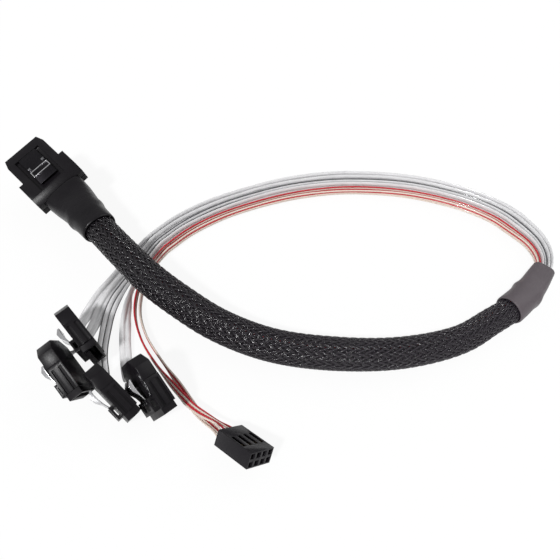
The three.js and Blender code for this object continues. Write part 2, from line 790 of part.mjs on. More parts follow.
function driveBackshell() {
  const c = DRIVE.blockChamfer;
  const front = BLOCK_FRONT - 0.02;
  const outline = [
    [DRIVE_REAR, -HALF_H + c],
    [DRIVE_REAR + c, -HALF_H],
    [front, -HALF_H],
    [front, HALF_H],
    [DRIVE_REAR + c, HALF_H],
    [DRIVE_REAR, HALF_H - c],
  ];
  const entry = DRIVE_REAR + DRIVE.entryFromRear;
  const slot = block(
    [entry - LEG.thickness / 2 - GAP, -LEG.width / 2 - GAP, -HALF_H - 1],
    [entry + LEG.thickness / 2 + GAP, LEG.width / 2 + GAP, -HALF_H + DRIVE.entryDepth],
  );
  return toGeometry(prismAlongY(outline, -HALF_T, HALF_T).subtract(slot));
}

// The metal leaf: its foot lies on the rear post and it rises backward to a thumb tip.
const LEAF_ROOT_X = FRAME_REAR;
const LEAF_ROOT_Y = -HALF_T - FRAME.postHeight;

function driveLatch() {
  const inner = LEAF.stations.map(([back, rise]) => [LEAF_ROOT_X - back, LEAF_ROOT_Y - rise]);
  const outer = LEAF.stations.map(([back, rise, depth]) => [LEAF_ROOT_X - back, LEAF_ROOT_Y - rise - depth]);
  const foot = [
    [LEAF_ROOT_X + LEAF.foot, LEAF_ROOT_Y - LEAF.thickness],
    [LEAF_ROOT_X + LEAF.foot, LEAF_ROOT_Y],
  ];
  const outline = [...foot, ...inner, ...outer.reverse()];
  return toGeometry(prismAlongZ(outline, -LEAF.height / 2, LEAF.height / 2));
}

function contactWafer() {
  const from = BLOCK_FRONT + GAP;
  return toGeometry(block(
    [from, DRIVE.slotOffset - WAFER.thickness / 2, -WAFER.height / 2],
    [from + WAFER.length, DRIVE.slotOffset + WAFER.thickness / 2, WAFER.height / 2],
  ));
}

const driveGroups = DRIVE_POSES.map((pose) => posedGroup(pose));

function driveConnector(number) {
  const group = driveGroups[number - 1];
  group.add(mesh(`drive_${number}_housing`, driveHousing(), plasticMaterial()));
  group.add(mesh(`drive_${number}_backshell`, driveBackshell(), plasticMaterial()));
  group.add(mesh(`drive_${number}_latch`, driveLatch(), steelMaterial()));
  group.add(mesh(`drive_${number}_contact_wafer`, contactWafer(), contactMaterial()));
  return group;
}

// A leg's last points: straight up into the entry slot on the lower narrow face.
function driveEnd(number) {
  const group = driveGroups[number - 1];
  const x = DRIVE_REAR + DRIVE.entryFromRear;
  const reach = [-HALF_H - 2.6, -HALF_H - 0.8, -HALF_H + DRIVE.entryDepth - GAP];
  const points = reach.map((z) => group.localToWorld(new THREE.Vector3(x, 0, z)));
  const wide = new THREE.Vector3(0, -1, 0).transformDirection(group.matrixWorld);
  return { points, wides: [wide, wide, wide], extraRings: 8 };
}

function legRibbon(number) {
  const slot = number - 1;
  const fan = fanFramesFor(slot, LEG_FANS[slot], driveEnd(number));
  const rings = ribbonRings(slot, LEG.thickness, LEG.width, fan);
  return mesh(`leg_${number}`, loftSolid(rings), foilMaterial());
}

// Sideband connector, local origin at its rear face centre, +X to the front.
const sidebandGroup = posedGroup(SIDEBAND_POSE);

function sidebandCells() {
  const cells = [];
  for (let row = 0; row < SIDEBAND.rows; row += 1) {
    for (let column = 0; column < SIDEBAND.columns; column += 1) {
      cells.push({
        y: (column - (SIDEBAND.columns - 1) / 2) * SIDEBAND.pitch,
        z: (row - (SIDEBAND.rows - 1) / 2) * SIDEBAND.pitch,
        row,
      });
    }
  }
  return cells;
}

function squareBar(x0, x1, y, z, size) {
  return block([x0, y - size / 2, z - size / 2], [x1, y + size / 2, z + size / 2]);
}

function sidebandHousing() {
  const halfY = (SIDEBAND.columns * SIDEBAND.pitch) / 2;
  const halfZ = (SIDEBAND.rows * SIDEBAND.pitch) / 2;
  const front = SIDEBAND.length;
  let body = block([0, -halfY, -halfZ], [front, halfY, halfZ]);
  for (const { y, z } of sidebandCells()) {
    const outer = Math.sign(z) * (halfZ + 1);
    const windowFront = front - SIDEBAND.windowFromFront;
    body = body.subtract(squareBar(front - SIDEBAND.frontWall - 1, front + 1, y, z, SIDEBAND.frontHole));
    body = body.subtract(squareBar(-1, front - SIDEBAND.frontWall, y, z, SIDEBAND.cavity));
    body = body.subtract(block(
      [windowFront - SIDEBAND.windowLength, y - SIDEBAND.windowWidth / 2, Math.min(z, outer)],
      [windowFront, y + SIDEBAND.windowWidth / 2, Math.max(z, outer)],
    ));
  }
  return toGeometry(body);
}

function terminal({ y, z }) {
  const to = SIDEBAND.length - SIDEBAND.frontWall - 0.02;
  const body = squareBar(to - SIDEBAND.terminalLength, to, y, z, SIDEBAND.terminalSize);
  const bore = squareBar(to - SIDEBAND.terminalBoreDepth, to + 1, y, z, SIDEBAND.terminalBore);
  return toGeometry(body.subtract(bore));
}

function sidebandConnector() {
  sidebandGroup.add(mesh('sideband_housing', sidebandHousing(), plasticMaterial()));
  sidebandCells().forEach((cell, i) => {
    sidebandGroup.add(mesh(`sideband_terminal_${i + 1}`, terminal(cell), contactMaterial()));
  });
  return sidebandGroup;
}

function sidebandRibbon(index) {
  const row = index === 0 ? 1 : -1;
  const z = (row * SIDEBAND.pitch) / 2;
  const points = [-5, -GAP].map((x) => sidebandGroup.localToWorld(new THREE.Vector3(x, 0, z)));
  const slot = LEG_FANS.length + index;
  const wide = new THREE.Vector3(0, 1, 0).transformDirection(sidebandGroup.matrixWorld);
  const end = { points, wides: [wide, wide], extraRings: 14 };
  const fan = fanFramesFor(slot, SIDE_FANS[index], end);
  const widthAt = (i, last) => {
    const remaining = fan.slice(i + 1).reduce((sum, frame, j, rest) => (
      j === 0 ? 0 : sum + frame.place.distanceTo(rest[j - 1].place)), 0);
    const open = i === last ? 1 : Math.max(0, 1 - remaining / SIDE_RIBBON.fanLength);
    return THREE.MathUtils.lerp(SIDE_RIBBON.width, SIDE_RIBBON.fanWidth, open);
  };
  const rings = ribbonRings(slot, SIDE_RIBBON.thickness, SIDE_RIBBON.width, fan, widthAt);
  return mesh(`sideband_ribbon_${index + 1}`, loftSolid(rings), wireMaterial());
}

const rigidEnds = [trunkPlug(), ...DRIVE_POSES.map((pose, i) => driveConnector(i + 1)), sidebandConnector()];
const shrinks = [plugHeatShrink(), breakoutHeatShrink()];
const cords = [
  braidedSleeve(),
  ...LEG_FANS.map((fan, i) => legRibbon(i + 1)),
  ...SIDE_FANS.map((fan, i) => sidebandRibbon(i)),
];

// The origin is at the middle of the rigid pieces, on the surface that they lie on.
const group = new THREE.Group();
group.add(...rigidEnds, ...shrinks);
const extent = new THREE.Box3().setFromObject(group, true);
const middle = extent.getCenter(new THREE.Vector3());
group.add(...cords);
group.position.set(-middle.x, -middle.y, -extent.min.z);

export default group;
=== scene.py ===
# %% [markdown]
# # Dressing a drive breakout cable
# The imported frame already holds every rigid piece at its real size: a wide latching plug, four
# slim drive connectors and a small two-row connector. Here the cable between them gets its
# weave, foil and wires, and every moulded piece gets soft edges and a finish of its own.

# %% Load the frame
import math

import bpy
from mathutils import Matrix, Vector, noise


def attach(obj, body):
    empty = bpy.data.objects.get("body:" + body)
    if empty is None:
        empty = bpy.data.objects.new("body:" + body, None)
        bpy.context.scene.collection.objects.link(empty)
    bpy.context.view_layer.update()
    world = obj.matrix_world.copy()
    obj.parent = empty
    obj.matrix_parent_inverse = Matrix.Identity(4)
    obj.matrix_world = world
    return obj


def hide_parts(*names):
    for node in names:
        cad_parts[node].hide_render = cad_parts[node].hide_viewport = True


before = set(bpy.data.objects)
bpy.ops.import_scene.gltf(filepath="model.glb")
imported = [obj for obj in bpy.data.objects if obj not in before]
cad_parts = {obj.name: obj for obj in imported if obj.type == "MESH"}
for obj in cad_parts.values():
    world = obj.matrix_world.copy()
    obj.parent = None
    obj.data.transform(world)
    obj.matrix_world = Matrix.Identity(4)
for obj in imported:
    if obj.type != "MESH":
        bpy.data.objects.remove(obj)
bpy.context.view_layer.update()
MM = 0.001

# %% [markdown]
# ## The camera
# The photograph looks down on the coiled cable from the front. A 36 mm lens on a 36 mm sensor
# has the photograph's perspective. The cable was laid out around the point that the camera looks
# at, and the part's own origin is a few millimetres from there, so every place is shifted once.

# %% Place the camera
ORIGIN_SHIFT = Vector((4.5882, 7.9455, 0.0560))
CAMERA_HEIGHT = 171.6
CAMERA_ELEVATION = math.radians(54)


def metres(place):
    return (Vector(place) + ORIGIN_SHIFT) * MM


camera_data = bpy.data.cameras.new("camera")
camera_data.lens = 36
camera_data.sensor_width = 36
camera_data.clip_start = 0.005
camera = bpy.data.objects.new("camera", camera_data)
bpy.context.scene.collection.objects.link(camera)
camera.location = metres((0, -CAMERA_HEIGHT / math.tan(CAMERA_ELEVATION), CAMERA_HEIGHT))
camera.rotation_euler = (math.pi / 2 - CAMERA_ELEVATION, 0, 0)
bpy.context.scene.camera = camera
bpy.context.scene.view_settings.view_transform = "Standard"
print("camera at", [round(value, 4) for value in camera.location])

# %% [markdown]
# ## Where the rigid ends lie
# A cord has to leave its plug and enter its connector exactly, so the poses of the rigid ends
# are repeated here: a place in millimetres, then heading, nose lift and lean in degrees.

# %% Poses of the plug and the connectors
PLUG_POSE = ((-85.9, 34.6, 11.8), 136.5, 8, -15)
DRIVE_POSES = [
    ((-66.6, -29.6, 10.6), -48, -4, 6),
    ((-68.3, -43, 10.6), -48.5, -22, 19.5),
    ((-52, -50.9, 10.5), -40, -24, 2.5),
    ((-41, -49.1, 11), -51, -26, -16),
]
SIDEBAND_POSE = ((-15.8, -62.4, 5.6), -40.5, 18, -44)


def pose_matrix(pose):
    place, heading, lift, lean = pose
    return (Matrix.Translation(place) @ Matrix.Rotation(math.radians(heading), 4, "Z")
            @ Matrix.Rotation(math.radians(-lift), 4, "Y")
            @ Matrix.Rotation(math.radians(lean), 4, "X"))


plug_matrix = pose_matrix(PLUG_POSE)
drive_matrices = [pose_matrix(pose) for pose in DRIVE_POSES]
sideband_matrix = pose_matrix(SIDEBAND_POSE)
PLUG_UP = plug_matrix.to_3x3() @ Vector((0, 0, 1))

# %% [markdown]
# ## Smooth routes
# A cord's centreline is a smooth curve through listed points. A centripetal spline passes
# through every point and never loops between two that lie close, which suits a stiff bundle.
# Each step along it carries a frame: where it is, where it heads, its left side and its wide way.

# %% Sample a route
def spline_point(points, position):
    last = len(points) - 1
    knot = min(int(position), last - 1)
    blend = position - knot
    b, c = points[knot], points[knot + 1]
    a = points[knot - 1] if knot > 0 else 2 * points[0] - points[1]
    d = points[knot + 2] if knot + 2 <= last else 2 * points[last] - points[last - 1]
    before, middle, after = ((q - p).length ** 0.5 for p, q in ((a, b), (b, c), (c, d)))
    leave = ((b - a) / before - (c - a) / (before + middle) + (c - b) / middle) * middle
    arrive = ((c - b) / middle - (d - b) / (middle + after) + (d - c) / after) * middle
    square = -3 * b + 3 * c - 2 * leave - arrive
    cube = 2 * b - 2 * c + leave + arrive
    return b + leave * blend + square * blend ** 2 + cube * blend ** 3


def make_frame(place, ahead, wide):
    side = wide.cross(ahead).normalized()
    return {"place": place, "ahead": ahead, "side": side, "up": ahead.cross(side).normalized()}


def route_frames(points, wides, count, start=0):
    last = len(points) - 1
    step = 0.001
    frames = []
    for i in range(count + 1):
        position = start + (last - start) * i / count
        knot = min(int(position), last - 1)
        turn = position - knot
        wide = wides[knot].lerp(wides[knot + 1], turn * turn * (3 - 2 * turn))
        near = spline_point(points, max(position - step, 0))
        far = spline_point(points, min(position + step, last))
        frames.append(make_frame(spline_point(points, position), (far - near).normalized(), wide))
    return frames


def beside(step, across, height=0):
    return step["place"] + step["side"] * across + step["up"] * height


# %% [markdown]
# ## The trunk's line
# From the plug, the braided trunk swings down to the front, round to the right and ends in the
# breakout. Each row holds a place, the half width, half height and squareness of the section
# there (2 is an ellipse), and how far it has turned upright out of the plug's own lean.

# %% The trunk's route
UPRIGHT = Vector((0, 0, 1))
TRUNK_STEPS = 138
TRUNK = [
    (plug_matrix @ Vector((-0.3, 0, 0)), (8, 4.2, 3.2), 0),
    (plug_matrix @ Vector((-6.5, 0, 0)), (7.4, 4.4, 2.8), 0.1),
    ((-74.2, 22.3, 11.6), (6.2, 4.7, 2.3), 0.2),
    ((-65.2, 12.2, 12.2), (5.7, 4.9, 2), 0.5),
    ((-55.2, 1.3, 12.3), (5.8, 5.1, 2), 0.8),
    ((-46.6, -7.2, 11.4), (6, 5.3, 2), 1),
    ((-34.9, -16, 9.6), (6, 5.5, 2), 1),
    ((-20.9, -24.6, 7.5), (5.9, 5.6, 2), 1),
    ((-3.4, -31.4, 6.2), (5.8, 5.7, 2), 1),
    ((16.7, -34.6, 6), (5.8, 5.6, 2), 1),
    ((40.1, -34.4, 5.9), (5.4, 5.4, 2), 1),
    ((61.3, -29, 5.4), (4.9, 4.9, 2), 1),
    ((73.5, -21.8, 5.4), (4.7, 4.7, 2), 1),
    ((80.8, -17.2, 5.45), (4.6, 4.6, 2), 1),
    ((89.6, -9.4, 5.3), (4.1, 3.9, 2.6), 1),
    ((98.1, 1, 4.6), (3.2, 2.5, 4), 1),
]
trunk_points = [Vector(place) for place, _, _ in TRUNK]
trunk_wides = [PLUG_UP.lerp(UPRIGHT, upright) for _, _, upright in TRUNK]
trunk = route_frames(trunk_points, trunk_wides, TRUNK_STEPS)
trunk[0] = make_frame(trunk_points[0], -(plug_matrix.to_3x3() @ Vector((1, 0, 0))), PLUG_UP)
for i, step in enumerate(trunk):
    position = i * (len(TRUNK) - 1) / TRUNK_STEPS
    knot = min(int(position), len(TRUNK) - 2)
    near, far = Vector(TRUNK[knot][1]), Vector(TRUNK[knot + 1][1])
    # Its x and y are the half width and half height, its z the squareness.
    step["half"] = near.lerp(far, position - knot)


def bulge(value, squareness):
    """A cosine or sine pushed out toward a square's corner; 2 leaves it as it is."""
    return math.copysign(abs(value) ** (2 / squareness), value)


def add_distances(frames):
    frames[0]["distance"] = 0
    for before, after in zip(frames, frames[1:]):
        after["distance"] = before["distance"] + (after["place"] - before["place"]).length
    return frames[-1]["distance"]


TRUNK_LENGTH = add_distances(trunk)
print("trunk from plug to breakout:", round(TRUNK_LENGTH, 1), "mm")

# %% [markdown]
# ## The bundle and its fans
# Behind the breakout the four foil legs and the two rows of sideband wires run side by side on
# edge, all the way back under the trunk. There each one turns off to its own connector and
# lies down flat where it slips under the housings.

# %% Routes of the bundle, the legs and the sideband wires
LEANING = Vector((-0.5, -0.4, 0.75))
TILTED = Vector((-0.9, -0.7, 0.42))
FLAT = Vector((-0.75, -0.65, 0))
TURNING = Vector((0.5, 0.4, 0.75))
LEVEL = Vector((0.75, 0.65, 0))
BUNDLE = [
    (100.6, 8.8, 3.4), (99.8, 16.2, 2.8), (96.1, 23.3, 2.5), (89.8, 31.2, 2.4), (79, 38.6, 2.4),
    (67.3, 43.6, 2.4), (53.5, 47.4, 2.4), (37.5, 49.2, 2.4), (21.3, 48.9, 2.4), (0.8, 45, 2.4),
    (-20.3, 36.8, 2.4), (-32.5, 29.7, 2.4), (-40, 23.8, 2.4), (-47.1, 16.3, 2.4),
]
LEG_FANS = [
    [((-58.2, 7.1, 2.5), UPRIGHT), ((-62.5, -1.5, 2.4), LEANING), ((-66.4, -10, 2.6), TILTED),
     ((-69.9, -18, 1.3), FLAT), ((-70.8, -21.8, 1.6), FLAT)],
    [((-55.8, 5, 2.5), UPRIGHT), ((-60.4, -3.5, 2.4), LEANING), ((-63.6, -12, 2.6), TILTED),
     ((-65.8, -20, 1.3), FLAT), ((-68.4, -28, 1.3), FLAT), ((-70.2, -32, 1.9), FLAT)],
    [((-54, 3.6, 2.5), UPRIGHT), ((-58, -5, 2.4), LEANING), ((-60.6, -14, 2.6), TILTED),
     ((-61.6, -24, 1.3), FLAT), ((-61, -33, 1.3), FLAT), ((-59, -40.3, 1.3), FLAT),
     ((-58.2, -43.2, 1.7), FLAT)],
    [((-51.8, 3, 2.5), UPRIGHT), ((-54.6, -6, 2.5), UPRIGHT), ((-55, -15, 2.3), LEANING),
     ((-54, -25, 2.5), TILTED), ((-52.6, -34, 1.3), FLAT), ((-50.6, -41, 1.7), FLAT)],
]
SIDE_FANS = [
    [((-50, 3, 2.4), UPRIGHT), ((-52.2, -6, 2.2), UPRIGHT), ((-52, -16, 1.9), UPRIGHT),
     ((-48.2, -27, 1.9), UPRIGHT), ((-41.6, -37, 1.9), UPRIGHT), ((-33.4, -46.6, 2.4), TURNING),
     ((-27.4, -53, 4), LEVEL)],
    [((-48.4, 3, 2.4), UPRIGHT), ((-50.4, -6, 2.2), UPRIGHT), ((-50.2, -16, 1.9), UPRIGHT),
     ((-46.4, -26, 1.9), UPRIGHT), ((-39.8, -35.8, 1.9), UPRIGHT), ((-32.2, -45.6, 1.9), TURNING),
     ((-27, -52.8, 1.7), LEVEL)],
]
LEG_WIDTH, LEG_THICKNESS = 4, 0.9
WIRE_ROW_WIDTH, WIRE_ROW_THICKNESS = 2.8, 0.7
BUNDLE_STEPS, FAN_STEPS, SPREAD_STEPS = 102, 60, 24


def stack_places(gap):
    """Middle of each ribbon across the stack, outermost first."""
    widths = [LEG_THICKNESS] * len(LEG_FANS) + [WIRE_ROW_THICKNESS] * len(SIDE_FANS)
    edge = -(sum(widths) + gap * (len(widths) - 1)) / 2
    places = []
    for width in widths:
        places.append(edge + width / 2)
        edge += width + gap
    return places


TIGHT_PLACES = stack_places(0.12)
LOOSE_PLACES = stack_places(1.25)
bundle_points = trunk_points[-3:] + [Vector(place) for place in BUNDLE]
bundle = route_frames(bundle_points, [UPRIGHT] * len(bundle_points), BUNDLE_STEPS, 2)
CARD_REACH = 7.6
CARD_END = make_frame(plug_matrix @ Vector((CARD_REACH, 0, 0)), trunk[0]["ahead"], PLUG_UP)


def moved(step, across):
    return {**step, "place": beside(step, across)}


def ribbon_frames(slot, fan, end_points, end_wide):
    """Frames of one ribbon from the plug's card to its connector."""
    tail = [beside(bundle[BUNDLE_STEPS - back], LOOSE_PLACES[slot]) for back in (9, 0)]
    points = tail + [Vector(place) for place, _ in fan] + end_points
    wides = [UPRIGHT, UPRIGHT] + [wide for _, wide in fan] + [end_wide] * len(end_points)
    frames = [moved(step, TIGHT_PLACES[slot]) for step in [CARD_END] + trunk]
    for i, step in enumerate(bundle[1:]):
        loose = min(1, i / SPREAD_STEPS)
        across = TIGHT_PLACES[slot] + (LOOSE_PLACES[slot] - TIGHT_PLACES[slot]) * loose
        frames.append(moved(step, across))
    frames += route_frames(points, wides, FAN_STEPS, 1)[1:]
    add_distances(frames)
    return frames


ENTRY_X, HALF_HEIGHT, ENTRY_DEPTH = -5.7, 6.4, 1.6
leg_frames = []
for slot, matrix in enumerate(drive_matrices):
    heights = (-HALF_HEIGHT - 2.6, -HALF_HEIGHT - 0.8, -HALF_HEIGHT + ENTRY_DEPTH - 0.3)
    ends = [matrix @ Vector((ENTRY_X, 0, height)) for height in heights]
    leg_frames.append(
        ribbon_frames(slot, LEG_FANS[slot], ends, matrix.to_3x3() @ Vector((0, -1, 0))))
side_frames = []
for row, height in enumerate((1.27, -1.27)):
    ends = [sideband_matrix @ Vector((x, 0, height)) for x in (-5, -0.3)]
    wide = sideband_matrix.to_3x3() @ Vector((0, 1, 0))
    side_frames.append(ribbon_frames(len(LEG_FANS) + row, SIDE_FANS[row], ends, wide))
for number, frames in enumerate(leg_frames + side_frames, 1):
    print("ribbon", number, "is", round(frames[-1]["distance"]), "mm long")

# %% [markdown]
# ## Finishes
# A finish is a Principled shader whose colour, roughness and bump vary over the surface. The
# maths between its nodes reads best as plain arithmetic, so a wire that comes out of a node can
# be added and multiplied like a number, and each sign adds the Math node it needs.

# %% A small kit for finishes
class Wire:
    """A socket that takes part in sums and products."""

    def __init__(self, finish, socket):
        self.finish = finish
        self.socket = socket

    def combine(self, operation, first, second):
        return self.finish.node("ShaderNodeMath", {"operation": operation}, {0: first, 1: second})

    def __add__(self, other):
        return self.combine("ADD", self, other)

    def __mul__(self, other):
        return self.combine("MULTIPLY", self, other)

    __radd__ = __add__
    __rmul__ = __mul__


class Finish:
    """One material, with a method that adds any node."""

    def __init__(self, name, **fixed):
        self.material = bpy.data.materials.new(name)
        self.material.use_nodes = True
        self.tree = self.material.node_tree
        self.shader = self.tree.nodes["Principled BSDF"]
        for socket, value in fixed.items():
            self.shader.inputs[socket.replace("_", " ")].default_value = value

    def node(self, kind, settings=None, inputs=None, output=0):
        node = self.tree.nodes.new(kind)
        for name, value in (settings or {}).items():
            setattr(node, name, value)
        for socket, value in (inputs or {}).items():
            self.join(node.inputs[socket], value)
        return Wire(self, node.outputs[output])

    def join(self, socket, value):
        if isinstance(value, Wire):
            self.tree.links.new(value.socket, socket)
        else:
            socket.default_value = value

    def place(self, coordinates="Object"):
        return self.node("ShaderNodeTexCoord", output=coordinates)

    def stretched(self, scale, coordinates="Object"):
        inputs = {0: self.place(coordinates), "Scale": scale}
        return self.node("ShaderNodeMapping", inputs=inputs)

    def clouds(self, scale, detail=2, vector=None):
        inputs = {"Vector": vector or self.place(), "Scale": scale, "Detail": detail}
        return self.node("ShaderNodeTexNoise", inputs=inputs)

    def blend(self, factor, low, high):
        settings = {"data_type": "RGBA"}
        return self.node("ShaderNodeMix", settings, {0: factor, 6: (*low, 1), 7: (*high, 1)}, 2)

    def bump(self, height, depth_mm, strength=1):
        inputs = {"Height": height, "Distance": depth_mm * MM, "Strength": strength}
        self.join(self.shader.inputs["Normal"], self.node("ShaderNodeBump", inputs=inputs))

    def drive(self, socket, wire):
        self.join(self.shader.inputs[socket], wire)


# %% [markdown]
# ## Moulded black, shrink tube and board
# The housings are satin black plastic: nearly even in colour, with a faint cloudiness and a very
# fine spark-eroded grain. The shrink tube is softer, with long shallow wrinkles; the breakout
# sleeve is painted a lighter grey as a painted sheen.

# %% Moulded and shrunk finishes
def moulded(name, low, high, roughness, grain_mm=0.012):
    finish = Finish(name, IOR=1.5, Specular_IOR_Level=0.2)
    mottle = finish.clouds(260, 3)
    finish.drive("Base Color", finish.blend(mottle, low, high))
    finish.drive("Roughness", roughness - 0.08 + 0.16 * finish.clouds(900, 2))
    finish.bump(finish.clouds(9000, 2), grain_mm)
    return finish.material


def shrunk(name, low, high, roughness):
    finish = Finish(name, IOR=1.5, Specular_IOR_Level=0.24)
    wrinkle = finish.clouds(240, 3)
    finish.drive("Base Color", finish.blend(finish.clouds(120, 2), low, high))
    finish.drive("Roughness", roughness - 0.1 + 0.2 * wrinkle)
    finish.bump(wrinkle + 0.25 * finish.clouds(2600, 2), 0.22)
    return finish.material


BLACK_PLASTIC = moulded("moulded_black", (0.0045, 0.0038, 0.005), (0.009, 0.0078, 0.0098), 0.34)
HEADER_PLASTIC = moulded("header_black", (0.007, 0.006, 0.008), (0.013, 0.0115, 0.0145), 0.4)
WAFER_PLASTIC = moulded("wafer_black", (0.02, 0.02, 0.021), (0.03, 0.03, 0.032), 0.5)
BOARD_GREEN = moulded("board_green", (0.012, 0.06, 0.028), (0.02, 0.1, 0.045), 0.35)
PLUG_SHRINK = shrunk("plug_shrink", (0.004, 0.0034, 0.0046), (0.0085, 0.0074, 0.0094), 0.3)
# Painted sheen: the breakout sleeve is black shrink tube, painted a lighter grey-mauve for the
# sheen it catches.
SHEEN_PAINTED_BREAKOUT_SHRINK = shrunk("breakout_shrink", (0.075, 0.063, 0.071), (0.125, 0.108, 0.118), 0.42)

# %% [markdown]
# ## Metal, foil and wire
# The latches are spring steel with faint drawing marks, bright on the drives and dark on the
# plug. Each leg is two foil-wrapped cores in a clear jacket. The foil is crinkled, and its silver
# is a nearly white, streaked colour under a coat: partly its own silver, partly painted reflection.
# The web between the cores is milky, on the third leg dark.

# %% Metal, foil and wire finishes
def metal(name, low, high, roughness, streak_scale, depth_mm):
    finish = Finish(name, Metallic=1.0)
    streak = finish.clouds(1, 2, finish.stretched(streak_scale))
    finish.drive("Base Color", finish.blend(streak, low, high))
    finish.drive("Roughness", roughness - 0.06 + 0.12 * streak)
    finish.bump(streak, depth_mm)
    return finish.material


def foil(name, low, high):
    finish = Finish(name, Metallic=0.1, Coat_Weight=0.6, Coat_Roughness=0.12)
    # Painted reflection: the nearly white base and its light and dark streaks stand partly for the
    # silver's own colour, partly for its reflection of the white surroundings. The crinkle bump is
    # real.
    crinkle = finish.clouds(1, 3, finish.stretched((0.22, 9, 1), "UV"))
    finish.drive("Base Color", finish.blend(crinkle, low, high))
    finish.drive("Roughness", 0.28 + 0.2 * finish.clouds(1, 2, finish.stretched((1.4, 3, 1), "UV")))
    finish.bump(crinkle, 0.05)
    return finish.material


def jacket(name, low, high, roughness, **fixed):
    finish = Finish(name, **fixed)
    tint = finish.clouds(1, 2, finish.stretched((0.12, 3, 1), "UV"))
    finish.drive("Base Color", finish.blend(tint, low, high))
    finish.drive("Roughness", roughness - 0.05 + 0.1 * tint)
    finish.bump(tint, 0.02)
    return finish.material


LATCH_STEEL = metal("latch_steel",
                    (0.62, 0.62, 0.64), (0.88, 0.88, 0.9), 0.22, (2500, 700, 2500), 0.01)
DARK_STEEL = metal("dark_steel",
                   (0.018, 0.017, 0.02), (0.04, 0.038, 0.043), 0.3, (2500, 700, 2500), 0.01)
CONTACT_GOLD = metal("contact_gold",
                     (0.75, 0.55, 0.26), (0.95, 0.76, 0.42), 0.24, (1500, 1500, 1500), 0.01)
# The foil colour below is partly painted reflection of the white surroundings.
REFLECTION_PAINTED_FOIL = foil("foil_core_painted_reflection", (0.6, 0.595, 0.605), (0.98, 0.975, 0.985))
CLEAR_WEB = jacket("milky_web", (0.62, 0.62, 0.63), (0.84, 0.84, 0.85), 0.22, Coat_Weight=0.5)
DARK_EDGE = jacket("dark_edge", (0.05, 0.05, 0.055), (0.09, 0.09, 0.1), 0.3, Coat_Weight=0.5)
RED_WIRE = jacket("red_wire", (0.42, 0.008, 0.018), (0.58, 0.02, 0.035), 0.3, Coat_Weight=0.3)
PALE_WIRE = jacket("pale_wire", (0.62, 0.5, 0.42), (0.78, 0.69, 0.62), 0.3, Coat_Weight=0.3)

# %% [markdown]
# ## Sweeping a section along a route
# Every cord here is a section carried along its frames. The sides become quads, the two ends are
# closed, and the map along the cord is in millimetres so that a finish has its real scale.

# %% Sweep sections into meshes
def pick(piece):
    """Make a piece the only one that the next operators work on."""
    bpy.ops.object.select_all(action="DESELECT")
    piece.select_set(True)
    bpy.context.view_layer.objects.active = piece


def mesh_piece(name, points, faces, materials, face_materials, uvs):
    data = bpy.data.meshes.new(name)
    data.from_pydata([metres(point) for point in points], [], faces)
    for material in materials:
        data.materials.append(material)
    layer = data.uv_layers.new(name="length_and_round")
    for face, material, corners in zip(data.polygons, face_materials, uvs):
        face.material_index = material
        face.use_smooth = True
        for loop, corner in zip(face.loop_indices, corners):
            layer.data[loop].uv = corner
    piece = bpy.data.objects.new(name, data)
    bpy.context.scene.collection.objects.link(piece)
    return piece


class Sweep:
    """Collects swept solids into one mesh."""

    def __init__(self):
        self.points, self.faces, self.materials, self.uvs = [], [], [], []

    def add(self, rings, distances, side_materials, closed_ends=True):
        base = len(self.points)
        sides = len(rings[0])
        for ring in rings:
            self.points += ring
        for r in range(len(rings) - 1):
            for s in range(sides):
                a = base + r * sides + s
                b = base + r * sides + (s + 1) % sides
                self.faces.append((a, b, b + sides, a + sides))
                self.materials.append(side_materials[s])
                low, high = s / sides, (s + 1) / sides
                near, far = distances[r], distances[r + 1]
                self.uvs.append(((near, low), (near, high), (far, high), (far, low)))
        if closed_ends:
            last = base + (len(rings) - 1) * sides
            self.faces.append(tuple(range(base + sides - 1, base - 1, -1)))
            self.faces.append(tuple(range(last, last + sides)))
            for distance in (distances[0], distances[-1]):
                self.materials.append(side_materials[0])
                self.uvs.append([(distance, s / sides) for s in range(sides)])

    def piece(self, name, materials):
        return mesh_piece(name, self.points, self.faces, materials, self.materials, self.uvs)


# %% [markdown]
# ## The foil legs
# A leg's section is a flat strip with two round-shouldered cores. The valley between them and
# the two thin edges are jacket only, so they take the milky finish, on the third leg a dark one,
# and each core the foil.

# %% Make the four legs
CORE_MIDDLE, CORE_HALF, WEB_HALF = 0.93, 0.72, 0.2
WAVER_MM, WAVES_PER_MM, LEG_PHASE, STEADY_END = 0.5, 0.03, 7.3, 12
SHOULDER = [(-1, 0.0), (-0.82, 0.62), (-0.4, 0.95), (0.4, 0.95), (0.82, 0.62), (1, 0.0)]


def leg_section():
    """Points (thickness, width) round the strip, with a material for each side."""
    half = LEG_THICKNESS / 2
    face = []
    for middle in (-CORE_MIDDLE, CORE_MIDDLE):
        for along, rise in SHOULDER:
            face.append((max(rise * half, WEB_HALF), middle + along * CORE_HALF))
    edge = LEG_WIDTH / 2
    right = [(WEB_HALF * 0.6, -edge)] + face + [(WEB_HALF * 0.6, edge)]
    left = [(-x, y) for x, y in reversed(right)]
    section = right + left
    per_core = len(SHOULDER)
    is_foil = [1] * len(section)
    for start in (1, 1 + per_core):
        for i in range(start, start + per_core - 1):
            is_foil[i] = 0
            is_foil[2 * len(right) - 2 - i] = 0
    return section, is_foil


def looseness(distance, held, over):
    """0 in the trunk and for a held length behind it, then rising to 1 over a further length."""
    return min(1, max(0, (distance - TRUNK_LENGTH - held) / over))


def sway(distance, slot):
    """A small idle waver of a loose ribbon, nothing while it is held in the trunk."""
    phase = Vector((distance * WAVES_PER_MM, slot * LEG_PHASE, 0))
    return looseness(distance, 25, 30) * WAVER_MM * noise.noise(phase)


